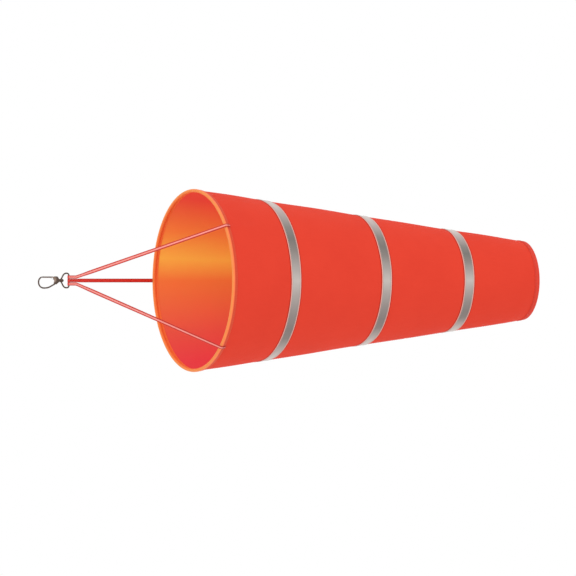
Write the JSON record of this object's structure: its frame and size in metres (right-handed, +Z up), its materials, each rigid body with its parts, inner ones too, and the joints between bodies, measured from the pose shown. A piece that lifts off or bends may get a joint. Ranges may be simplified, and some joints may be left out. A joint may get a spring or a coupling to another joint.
{
  "type": "windsock with snap hook",
  "caption": "Tapered cloth windsock with a hooped mouth, three reflective bands and a three-strap harness on a swivel snap hook.",
  "frame": {"origin": "seat inside the hook's nose, where the mast's ring bears", "axes": "+X along the sleeve from hook to tail, +Z up, the gate on the upper side of the hook"},
  "size_m": [1.1748, 0.3995, 0.398],
  "materials": {
    "sleeve_cloth": "matte",
    "reflective_tape": "satin",
    "orange_binding": "matte",
    "strap_webbing": "matte",
    "dark_bronze": "satin",
    "gate_metal": "satin",
    "spring_steel": "satin"
  },
  "bodies": {
    "hook": {"hook_body": "dark_bronze", "gate_pin": "dark_bronze", "gate_spring": "spring_steel", "swivel_rivet": "dark_bronze", "swivel_washer": "dark_bronze"},
    "gate": {"gate": "gate_metal"},
    "eye": {"swivel_eye": "dark_bronze"},
    "mouth": {"harness_strap_upper": "strap_webbing", "harness_strap_lower": "strap_webbing", "harness_strap_far": "strap_webbing", "mouth_hoop": "spring_steel", "hoop_ferrule": "spring_steel", "mouth_binding": "orange_binding", "sleeve_section_1": "sleeve_cloth", "reflective_band_1": "reflective_tape", "seam_tape_1": "sleeve_cloth"},
    "section_2": {"sleeve_section_2": "sleeve_cloth", "reflective_band_2": "reflective_tape", "seam_tape_2": "sleeve_cloth"},
    "section_3": {"sleeve_section_3": "sleeve_cloth", "reflective_band_3": "reflective_tape", "seam_tape_3": "sleeve_cloth"},
    "tail": {"sleeve_section_4": "sleeve_cloth", "seam_tape_4": "sleeve_cloth", "tail_binding": "sleeve_cloth"}
  },
  "joints": [
    {"name": "gate_open", "type": "hinge", "parent": "hook", "child": "gate", "pos_m": [0.0385, 0, 0.0056], "axis": [0, -1, 0], "range_deg": [0, 28], "stiffness_Nm_per_rad": 0.02, "springref_deg": -28.65, "deforming": ["gate_spring"]},
    {"name": "swivel_spin", "type": "hinge", "parent": "hook", "child": "eye", "pos_m": [0.053, 0, 0], "axis": [1, 0, 0], "continuous": true},
    {"name": "harness_pivot", "type": "hinge", "parent": "eye", "child": "mouth", "pos_m": [0.0716, 0, 0], "axis": [0, 0, 1], "range_deg": [-60, 60], "stiffness_Nm_per_rad": 16},
    {"name": "droop_1", "type": "hinge", "parent": "mouth", "child": "section_2", "pos_m": [0.5438, 0, 0.16905], "axis": [0, 1, 0], "range_deg": [0, 14], "stiffness_Nm_per_rad": 0.4, "springref_deg": -57.3},
    {"name": "droop_2", "type": "hinge", "parent": "section_2", "child": "section_3", "pos_m": [0.7798, 0, 0.1359], "axis": [0, 1, 0], "range_deg": [0, 14], "stiffness_Nm_per_rad": 0.15, "springref_deg": -57.3},
    {"name": "droop_3", "type": "hinge", "parent": "section_3", "child": "tail", "pos_m": [0.9948, 0, 0.10578], "axis": [0, 1, 0], "range_deg": [0, 14], "stiffness_Nm_per_rad": 0.04, "springref_deg": -57.3}
  ]
}
